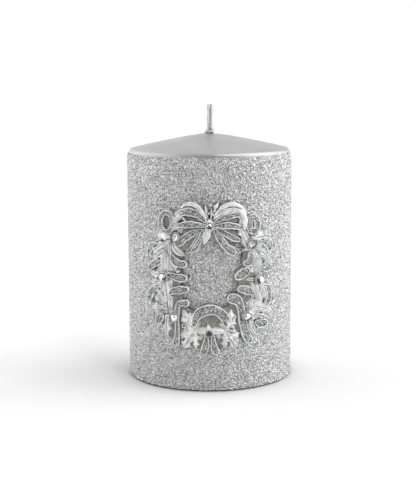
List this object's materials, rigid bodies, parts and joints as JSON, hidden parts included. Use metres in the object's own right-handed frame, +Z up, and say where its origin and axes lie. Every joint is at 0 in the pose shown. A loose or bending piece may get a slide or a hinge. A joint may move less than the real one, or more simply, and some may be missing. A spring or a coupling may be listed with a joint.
{
  "type": "unity candle",
  "caption": "Silver pillar candle with a conical top, a glass-grit side, a braided wick and a glued wreath-and-bow ornament set with rhinestones.",
  "frame": {"origin": "centre of the candle's base, on the plane it stands on", "axes": "+Z up along the wick, -Y towards the wreath on the front, +X to the viewer's right"},
  "size_m": [0.068, 0.0724, 0.112],
  "materials": {
    "wax": "paraffin wax, only the underside shows",
    "lacquer": "satin silver metallic lacquer",
    "glass_grit": "coarse silvered glass grit bonded on, sparkling",
    "wick_cotton": "braided cotton, waxed, cream white",
    "sustainer_steel": "thin tinned sheet",
    "adhesive": "dried contact adhesive",
    "backing": "smooth recess, umber antiquing over silver",
    "casting": "pearly silver-white casting with polished lips",
    "leaf_casting": "matte pearly silver-white casting",
    "glitter": "fine grey glitter in clear resin",
    "stone": "foil-backed faceted crystal"
  },
  "bodies": {
    "root": {"wax_core": "wax", "lacquer_coat": "lacquer", "grit_coat": "glass_grit", "wick": "wick_cotton", "wick_sustainer": "sustainer_steel", "wreath_adhesive": "adhesive", "wreath_backing": "backing", "bow_glitter": "glitter", "bow_knot": "leaf_casting", "bow_loop_left": "casting", "bow_loop_right": "casting", "bow_sprig": "leaf_casting", "bow_tail_left": "casting", "bow_tail_right": "casting", "curl_arch": "casting", "curl_glitter": "glitter", "curl_left_inner_1": "casting", "curl_left_inner_2": "casting", "curl_left_inner_3": "casting", "curl_left_inner_4": "casting", "curl_left_outer_1": "casting", "curl_left_outer_2": "casting", "curl_left_outer_3": "casting", "curl_left_outer_4": "casting", "curl_left_ring": "casting", "curl_right_inner_1": "casting", "curl_right_inner_2": "casting", "curl_right_inner_3": "casting", "curl_right_inner_4": "casting", "curl_right_outer_1": "casting", "curl_right_outer_2": "casting", "curl_right_outer_3": "casting", "curl_right_outer_4": "casting", "curl_right_ring": "casting", "curl_tail_left": "casting", "curl_tail_right": "casting", "leaf_bottom_cap": "leaf_casting", "leaf_bottom_left": "leaf_casting", "leaf_bottom_right": "leaf_casting", "leaf_left_0": "leaf_casting", "leaf_left_1": "leaf_casting", "leaf_left_2": "leaf_casting", "leaf_left_3": "leaf_casting", "leaf_right_1": "leaf_casting", "leaf_right_2": "leaf_casting", "leaf_right_3": "leaf_casting", "rhinestone_bottom": "stone", "rhinestone_bow": "stone", "rhinestone_cups": "casting", "rhinestone_left_low": "stone", "rhinestone_left_mid": "stone", "rhinestone_left_top": "stone", "rhinestone_right_low": "stone", "rhinestone_right_mid": "stone", "rhinestone_right_top": "stone"}
  },
  "joints": []
}
